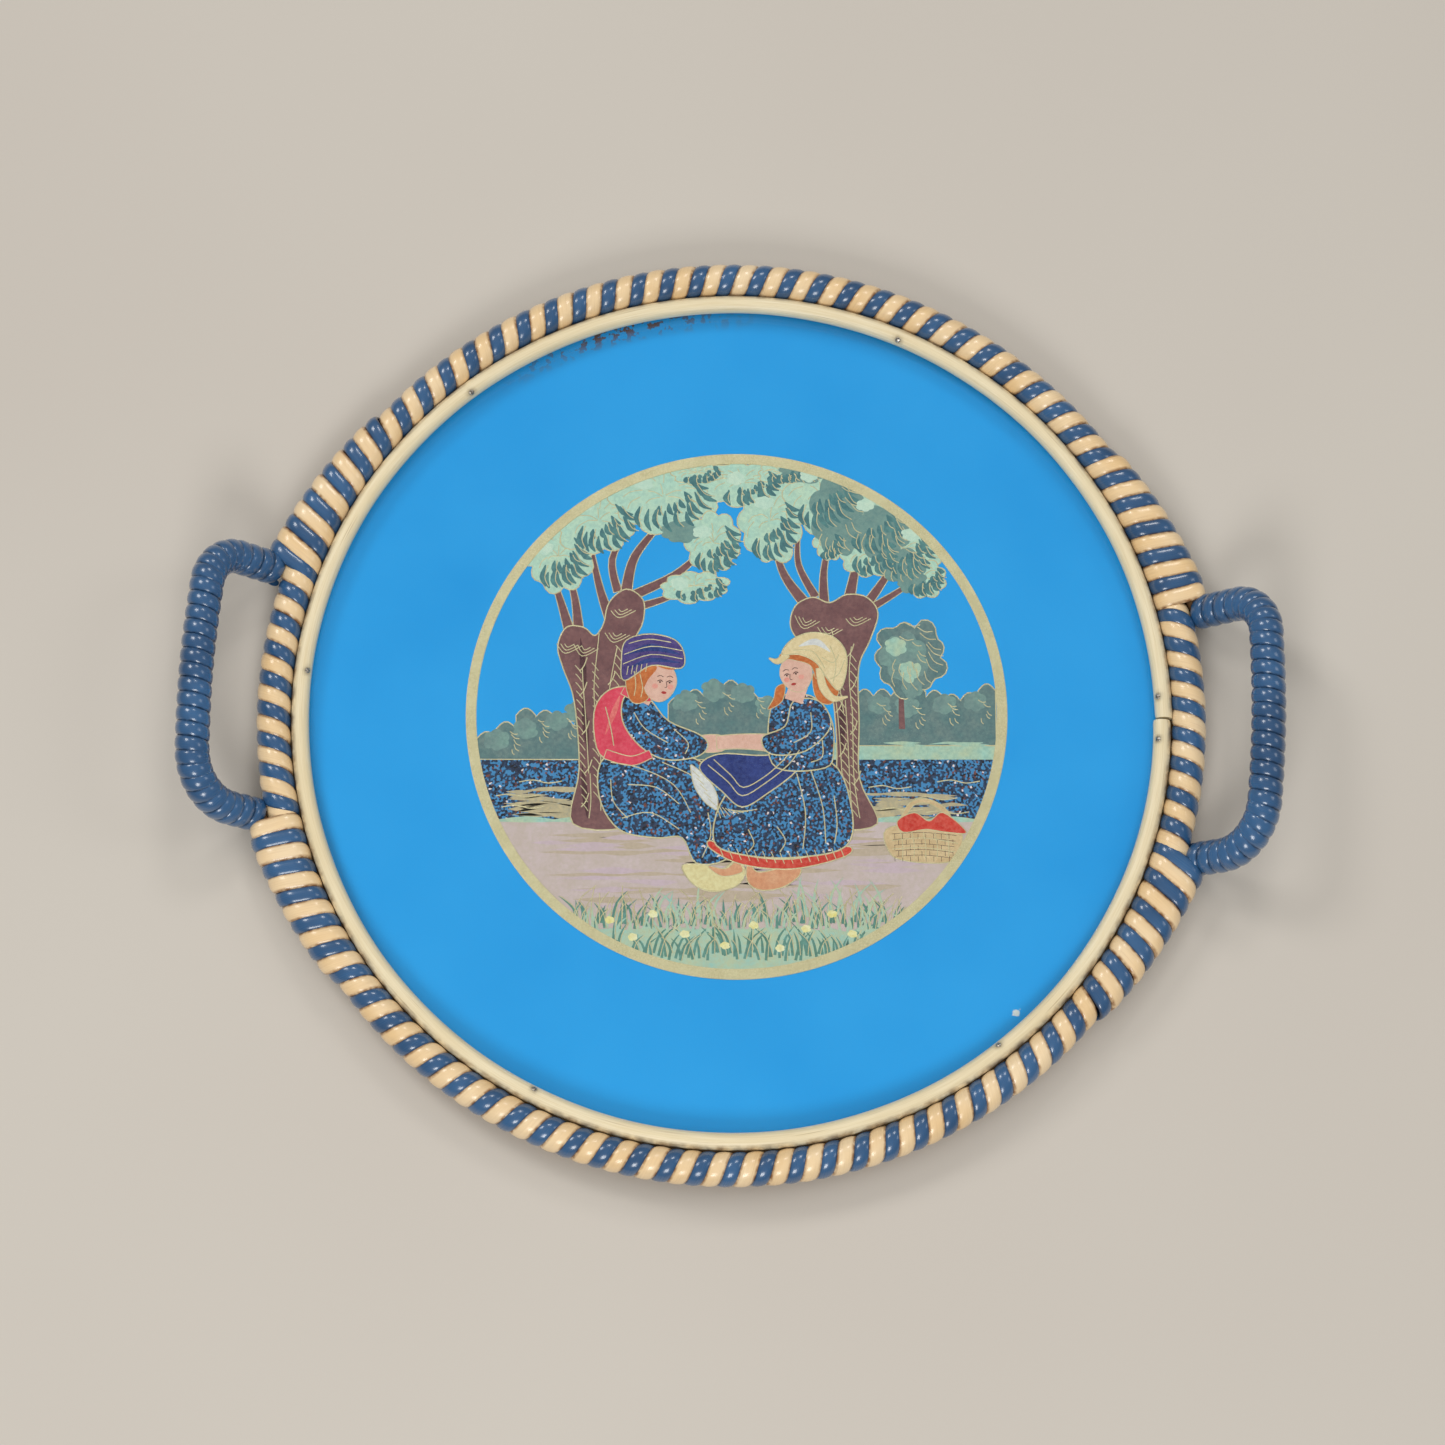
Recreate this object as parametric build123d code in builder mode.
"""Round serving tray: a picture under glass on a wooden base, inside a wrapped cane rim.

The rim is a round cane hoop, lashed all the way round with two strands of lacquered cane laid
side by side, one blue and one cream.  Each handle is one bent length of the same cane core.  Its
two ends are tapered, pinned along the outside of the hoop and lashed in under the rim strands,
and a single blue strand covers the grip.  The hoop is nailed up through the base.  Card, foil,
picture sheet and glass lie inside the hoop, and a round cane bead nailed down slantwise between
the glass and the hoop holds them in.

Frame: millimetres, +Z up, handles along X, origin at the middle of the base's underside.  The
near side, where both grips have their wider bends, is towards -Y.
"""

import os
from math import atan2, cos, degrees, floor, pi, radians, sin, sqrt

from build123d import *

os.makedirs("parts", exist_ok=True)

# ---- flat stock ----
glass_radius = 150.0
glass_thickness = 2.5
glass_edge_bevel = 0.3
sheet_inset = 0.5  # card and picture are cut this much smaller than the glass
sheet_thickness = 0.35
sheet_clearance = 0.3  # air between the picture sheet and the glass
foil_radius = 98.0
foil_thickness = 0.2
card_thickness = 0.5
base_thickness = 5.0
base_cover = 3.2  # how far the base reaches past the hoop's centreline
base_edge_round = 1.0

# ---- cane stock ----
core_diameter = 7.0  # round cane of the hoop and of the handles
strand_width = 5.2
strand_thickness = 2.5
strand_round = 1.6  # rounding of a strand's outer edges
strand_squeeze = 0.04  # least gap left between two turns, at the inside of the hoop
wrap_clearance = 0.05  # between a core and what lies against it
hoop_joint_gap = 0.3
hoop_joint_angle = 90.0
bead_diameter = 6.2
bead_glass_gap = 0.02
bead_rim_gap = 0.15
bead_overhang = 0.7  # how far the bead's centreline lies outside the glass edge
bead_joint_gap = 0.8
bead_joint_angle = 1.7

# ---- handles ----
handle_span = 89.0  # leg to leg, on the centrelines
handle_reach = 21.3  # how far the middle of the grip stands out from the legs' feet
handle_rise = 24.0  # how far it stands up above them
grip_bow = 3.3  # how far the middle of a grip stands out from the line of its corners
grip_bow_radius = 300.0
near_corner_radius = 19.0
far_corner_radius = 13.5
foot_radius = 5.0  # bend where a leg leaves the rim
foot_clearance = 0.15  # between the bare core and the rim's turns at a leg's foot
shoulder_radius = 8.0  # gentler bend where the tail starts to follow the hoop
shoulder_lead = 1.9  # straight part of the core before that bend
root_run = 9.5  # from a leg's foot to where the tail starts, along the hoop
tail_length = 50.0
tail_tip_radius = 1.0
tail_sections = 6
grip_turn_gap = 0.15
grip_round = 1.2  # rounding of the outer edges of the grip's turns
grip_lead = 6.5  # from a leg's foot to the grip's first turn
straight_limit = 0.03  # a grip turn that would bow by less than this is made straight

# ---- nails and pins ----
pin_diameter = 1.1
pin_head_diameter = 1.5
pin_head_thickness = 0.4
bead_pin_tilt = 35.0  # degrees out from straight down
bead_pin_bite = 2.8  # how deep a bead pin goes into the base
bead_pin_angles = [4.7, 69.2, 131.2, 177.3, 246.0, 310.5, 358.8]
tail_pin_offsets = [8.0, 22.0]  # along a tail, from its thick end
tail_pin_sink = 0.3  # a tail pin's head below the tail's outside
tail_pin_bite = 2.0  # how far a tail pin passes the middle of the hoop
brad_diameter = 1.3
brad_head_diameter = 2.6
brad_head_thickness = 0.7
brad_head_sink = 0.4  # how far a brad's head is punched in below the underside
brad_bite = 2.0  # how far a brad passes the middle of the hoop
brad_count = 12
nail_clearance = 0.02  # round every nail, in the hole that it has made

# ---- heights and radii that follow from the stock ----
foil_bottom = base_thickness + card_thickness
sheet_bottom = foil_bottom + foil_thickness
glass_bottom = sheet_bottom + sheet_thickness + sheet_clearance
glass_top = glass_bottom + glass_thickness
core_radius = core_diameter / 2
turn_bore = core_radius + wrap_clearance
turn_radius = turn_bore + strand_thickness
hoop_z = base_thickness + turn_radius + wrap_clearance
bead_section = bead_diameter / 2
bead_z = glass_top + bead_section + bead_glass_gap
bead_radius = glass_radius + bead_overhang
bead_reach = turn_radius + bead_section + bead_rim_gap
hoop_radius = bead_radius + sqrt(bead_reach**2 - (bead_z - hoop_z) ** 2)
base_radius = hoop_radius + base_cover

# ---- the rim's turns ----
inner_round = 2 * pi * (hoop_radius - turn_radius)
colour_turns = floor(inner_round / (2 * (strand_width + strand_squeeze)))
turn_step = 360 / (2 * colour_turns)

# ---- the handles' feet and tails ----
foot_distance = turn_radius + core_radius + foot_clearance
foot_x = sqrt((hoop_radius + foot_distance) ** 2 - (handle_span / 2) ** 2)
foot_angle = degrees(atan2(handle_span / 2, foot_x))
tail_start = foot_angle + degrees(root_run / hoop_radius)
tail_end = tail_start + degrees(tail_length / hoop_radius)


def polar(radius, angle, z=0.0):
    """The point at this radius, angle in degrees and height."""
    return Vector(radius * cos(radians(angle)), radius * sin(radians(angle)), z)


def between_turns(angle):
    """The nearest angle at which two neighbouring rim turns meet."""
    return round(angle / turn_step) * turn_step


def from_handle(angle):
    """How many degrees this angle is away from the nearer handle's middle line."""
    folded = angle % 180
    return min(folded, 180 - folded)


def tail_radius(angle):
    """A tail's section radius, this many degrees from the handle's middle line."""
    share = (angle - tail_start) / (tail_end - tail_start)
    return core_radius + (tail_tip_radius - core_radius) * max(share, 0.0)


def tail_distance(angle):
    """How far the handle's core lies out from the hoop's centreline at that angle."""
    close = turn_bore + tail_radius(angle)
    share = (tail_start - angle) / (tail_start - foot_angle)
    return close + (foot_distance - close) * max(share, 0.0)


def nail(length, diameter, head_diameter, head_thickness):
    """A nail standing on its head at the origin, point up."""
    with BuildPart() as made:
        with BuildSketch():
            Circle(head_diameter / 2)
        extrude(amount=head_thickness)
        with BuildSketch(Plane.XY.offset(head_thickness)):
            Circle(diameter / 2)
        extrude(amount=length - head_thickness)
        chamfer(made.faces().sort_by(Axis.Z)[-1].edges(), length=diameter * 0.3)
    return made.part


def nail_hole(length, diameter, head_diameter, head_thickness):
    """The hole that such a nail leaves, open behind its head."""
    with BuildPart() as made:
        with BuildSketch(Plane.XY.offset(-head_diameter)):
            Circle(head_diameter / 2 + nail_clearance)
        extrude(amount=head_diameter + head_thickness + nail_clearance)
        with BuildSketch():
            Circle(diameter / 2 + nail_clearance)
        extrude(amount=length + nail_clearance)
    return made.part


# ---- where the nails go ----
brad_size = (hoop_z + brad_bite - brad_head_sink, brad_diameter, brad_head_diameter, brad_head_thickness)
brad_angles = [between_turns(360 / brad_count * (k + 0.5)) for k in range(brad_count)]
brad_places = [Location(polar(hoop_radius, a, brad_head_sink)) for a in brad_angles]
brad = nail(*brad_size)
brad_holes = [place * nail_hole(*brad_size) for place in brad_places]


def bead_pin_place(angle):
    """Where a bead pin's head lies, with Z along the shank: through the bead, out and down."""
    shank = polar(sin(radians(bead_pin_tilt)), angle, -cos(radians(bead_pin_tilt)))
    head = polar(bead_radius, angle, bead_z) - shank * bead_section
    return Plane(origin=head, z_dir=shank).location


bead_pin_drop = bead_z - (base_thickness - bead_pin_bite)
bead_pin_length = bead_section + bead_pin_drop / cos(radians(bead_pin_tilt))
bead_pin_size = (bead_pin_length, pin_diameter, pin_head_diameter, pin_head_thickness)
bead_pin_places = [bead_pin_place(between_turns(a)) for a in bead_pin_angles]
bead_pin = nail(*bead_pin_size)
bead_pin_holes = [place * nail_hole(*bead_pin_size) for place in bead_pin_places]


def tail_pin_size(angle):
    """A tail pin's length, from its sunk head to past the middle of the hoop, and its section."""
    outside = tail_distance(angle) + tail_radius(angle) - tail_pin_sink
    return (outside + tail_pin_bite, pin_diameter, pin_head_diameter, pin_head_thickness)


def tail_pin_place(angle, side):
    """Where a tail pin's head lies, on that side of the right handle, with Z inwards."""
    outside = hoop_radius + tail_distance(angle) + tail_radius(angle) - tail_pin_sink
    head = polar(outside, side * angle, hoop_z)
    return Plane(origin=head, z_dir=polar(-1.0, side * angle)).location


tail_pin_angles = [tail_start + degrees(offset / hoop_radius) for offset in tail_pin_offsets]
tail_pins = []
tail_pin_holes = []
for angle in tail_pin_angles:
    for side in (1, -1):
        tail_pins.append(tail_pin_place(angle, side) * nail(*tail_pin_size(angle)))
        tail_pin_holes.append(tail_pin_place(angle, side) * nail_hole(*tail_pin_size(angle)))
half_turn = Rotation(0, 0, 180)
left_tail_pins = [half_turn * pin for pin in tail_pins]
left_tail_pin_holes = [half_turn * hole for hole in tail_pin_holes]


# ---- base and what lies on it ----
with BuildPart() as base_board:
    with BuildSketch():
        Circle(base_radius)
    extrude(amount=base_thickness)
    fillet(base_board.edges(), base_edge_round)
    add(brad_holes + bead_pin_holes, mode=Mode.SUBTRACT)

with BuildPart() as backing_card:
    with BuildSketch(Plane.XY.offset(base_thickness)):
        Circle(glass_radius - sheet_inset)
    extrude(amount=card_thickness)

with BuildPart() as foil_leaf:
    with BuildSketch(Plane.XY.offset(foil_bottom)):
        Circle(foil_radius)
    extrude(amount=foil_thickness)

with BuildPart() as picture_sheet:
    with BuildSketch(Plane.XY.offset(sheet_bottom)):
        Circle(glass_radius - sheet_inset)
    extrude(amount=sheet_thickness)

with BuildPart() as glass_disc:
    with BuildSketch(Plane.XY.offset(glass_bottom)):
        Circle(glass_radius)
    extrude(amount=glass_thickness)
    chamfer(glass_disc.edges(), length=glass_edge_bevel)


# ---- cane rings, each with its ends butted ----
def cane_ring(radius, z, section, joint_gap, joint_angle):
    """A ring of round cane whose two ends meet at the joint angle."""
    gap = degrees(joint_gap / radius)
    with BuildPart() as made:
        with BuildSketch(Plane.XZ.rotated((0, 0, joint_angle + gap / 2))):
            with Locations((radius, z)):
                Circle(section)
        revolve(axis=Axis.Z, revolution_arc=gap - 360)
    return made.part


whole_hoop = cane_ring(hoop_radius, hoop_z, core_radius, hoop_joint_gap, hoop_joint_angle)
whole_bead = cane_ring(bead_radius, bead_z, bead_section, bead_joint_gap, bead_joint_angle)
placed_bead_pins = [place * bead_pin for place in bead_pin_places]
placed_brads = [place * brad for place in brad_places]

with BuildPart() as hoop_core:
    add(whole_hoop)
    add(brad_holes + tail_pin_holes + left_tail_pin_holes, mode=Mode.SUBTRACT)

with BuildPart() as bead_ring:
    add(whole_bead)
    add(bead_pin_holes, mode=Mode.SUBTRACT)

with BuildPart() as bead_nails:
    add(placed_bead_pins)

with BuildPart() as hoop_brads:
    add(placed_brads)


# ---- handle cores ----
handle_slope = atan2(handle_rise, handle_reach)
grip_distance = handle_reach / cos(handle_slope)  # feet to the middle of the grip, along the slope


def on_slope(distance, y):
    """A point of the right handle's sloping plane, this far up from the line of its feet."""
    return Vector(foot_x + distance * cos(handle_slope), y, hoop_z + distance * sin(handle_slope))


def root_points(side):
    """Tail's thick end and shoulder on one side of the right handle."""
    thick_end = polar(hoop_radius + tail_distance(tail_start), side * tail_start, hoop_z)
    along = polar(1.0, side * (tail_start - 90))
    return [thick_end, thick_end + along * shoulder_lead]


half_span = handle_span / 2
handle_corners = (
    root_points(-1)
    + [on_slope(0, -half_span), on_slope(grip_distance - grip_bow, -half_span)]
    + [on_slope(grip_distance, 0)]
    + [on_slope(grip_distance - grip_bow, half_span), on_slope(0, half_span)]
    + root_points(1)[::-1]
)
grip_bends = [near_corner_radius, grip_bow_radius, far_corner_radius]
handle_bends = [shoulder_radius, foot_radius] + grip_bends + [foot_radius, shoulder_radius]
handle_path = FilletPolyline(*handle_corners, radius=handle_bends)


def bent_core(section):
    """The handle's full-thickness part, foot to foot and on to the tails' thick ends."""
    with BuildPart() as made:
        with BuildSketch(Plane(origin=handle_path @ 0, z_dir=handle_path % 0)):
            Circle(section)
        sweep(path=handle_path)
    return made.part


def handle_tail(side):
    """One tapered end, lying against the outside of the hoop."""
    with BuildPart() as made:
        for k in range(tail_sections):
            angle = tail_start + (tail_end - tail_start) * k / (tail_sections - 1)
            centre = polar(hoop_radius + tail_distance(angle), side * angle, hoop_z)
            across = Plane(origin=centre, x_dir=(0, 0, 1), z_dir=polar(1.0, side * (angle + 90)))
            with BuildSketch(across):
                Circle(tail_radius(angle))
        loft()
    return made.part


middle_core = bent_core(core_radius)
both_tails = [handle_tail(1), handle_tail(-1)]

with BuildPart() as handle_core_right:
    add([middle_core] + both_tails)
    add(tail_pin_holes, mode=Mode.SUBTRACT)

with BuildPart() as handle_core_left:
    mirror(handle_core_right.part, about=Plane.YZ)

with BuildPart() as tail_pins_right:
    add(tail_pins)

with BuildPart() as tail_pins_left:
    add(left_tail_pins)


# ---- rim strands: one closed turn of strand for every lap of each colour ----
def rim_turn(stretch):
    """A turn round the hoop at angle 0, stretched outwards to go round a handle's core as well."""
    start = Plane(origin=(hoop_radius, -strand_width / 2, hoop_z), x_dir=(1, 0, 0), z_dir=(0, 1, 0))
    with BuildPart() as made:
        with BuildSketch(start):
            if stretch:
                with Locations((stretch / 2, 0)):
                    SlotCenterToCenter(stretch, 2 * turn_radius)
                    SlotCenterToCenter(stretch, 2 * turn_bore, mode=Mode.SUBTRACT)
            else:
                Circle(turn_radius)
                Circle(turn_bore, mode=Mode.SUBTRACT)
        extrude(amount=strand_width)
        rims = made.faces().filter_by(Axis.Y)
        outlines = [rims[0].outer_wire(), rims[1].outer_wire()]
        fillet([edge for outline in outlines for edge in outline.edges()], strand_round)
    return made.part


plain_turn = rim_turn(0.0)
root_room = bent_core(turn_bore)
root_rooms = [root_room, mirror(root_room, about=Plane.YZ)]
stretched_turns = {}


def placed_turn(index):
    """The rim turn with this number, counted from the right handle's middle line."""
    angle = (index + 0.5) * turn_step
    near_side = from_handle(angle) - turn_step / 2
    far_side = near_side + turn_step
    if far_side < foot_angle or near_side > tail_end:
        turn = Rotation(0, 0, angle) * plain_turn
    else:
        key = round(near_side, 3)
        if key not in stretched_turns:
            reach = max(near_side, foot_angle)
            stretch = tail_distance(reach) + tail_radius(reach) - core_radius
            stretched_turns[key] = rim_turn(stretch)
        turn = Rotation(0, 0, angle) * stretched_turns[key]
    if near_side < tail_start and far_side > foot_angle:
        turn = turn - root_rooms
    for brad_angle, hole in zip(brad_angles, brad_holes):
        if abs(brad_angle - angle) < turn_step:
            turn = turn - hole
    return turn


blue_turns = [placed_turn(2 * k) for k in range(colour_turns)]
cream_turns = [placed_turn(2 * k + 1) for k in range(colour_turns)]

with BuildPart() as rim_strand_blue:
    add(blue_turns)

with BuildPart() as rim_strand_cream:
    add(cream_turns)


# ---- grip strands: one turn after another from foot to foot ----
grip_path = FilletPolyline(
    on_slope(grip_lead, -half_span),
    on_slope(grip_distance - grip_bow, -half_span),
    on_slope(grip_distance, 0),
    on_slope(grip_distance - grip_bow, half_span),
    on_slope(grip_lead, half_span),
    radius=grip_bends,
)
near_leg, near_corner, *middle_runs, far_corner, far_leg = [edge.length for edge in grip_path.edges()]
turn_places = []
stretch_start = 0.0
for stretch_length in (near_leg, near_corner, sum(middle_runs), far_corner, far_leg):
    count = floor((stretch_length + grip_turn_gap) / (strand_width + grip_turn_gap))
    turn_places += [stretch_start + stretch_length * (k + 0.5) / count for k in range(count)]
    stretch_start += stretch_length


def grip_turn(middle):
    """The grip's turn at this distance along it, bent in one arc with the handle's core."""
    places = [middle - strand_width / 2, middle, middle + strand_width / 2]
    start, halfway, end = [grip_path @ (place / grip_path.length) for place in places]
    if (halfway - (start + end) / 2).length < straight_limit:
        path = Line(start, end)
    else:
        path = ThreePointArc(start, halfway, end)
    with BuildPart() as made:
        with BuildSketch(Plane(origin=path @ 0, z_dir=path % 0)):
            Circle(turn_radius)
            Circle(turn_bore, mode=Mode.SUBTRACT)
        sweep(path=path)
        ends = made.faces().filter_by(GeomType.PLANE)
        fillet([edge for face in ends for edge in face.outer_wire().edges()], grip_round)
    return made.part


grip_turns = [grip_turn(place) for place in turn_places]

with BuildPart() as handle_strand_right:
    add(grip_turns)

with BuildPart() as handle_strand_left:
    mirror(handle_strand_right.part, about=Plane.YZ)


# ---- names and files ----
nodes = {
    "base_board": base_board,
    "backing_card": backing_card,
    "foil_leaf": foil_leaf,
    "picture_sheet": picture_sheet,
    "glass_disc": glass_disc,
    "bead_ring": bead_ring,
    "bead_nails": bead_nails,
    "hoop_core": hoop_core,
    "hoop_brads": hoop_brads,
    "handle_core_right": handle_core_right,
    "handle_core_left": handle_core_left,
    "tail_pins_right": tail_pins_right,
    "tail_pins_left": tail_pins_left,
    "rim_strand_blue": rim_strand_blue,
    "rim_strand_cream": rim_strand_cream,
    "handle_strand_right": handle_strand_right,
    "handle_strand_left": handle_strand_left,
}
for name, node in nodes.items():
    node.part.label = name
    export_step(node.part, f"parts/{name}.step")
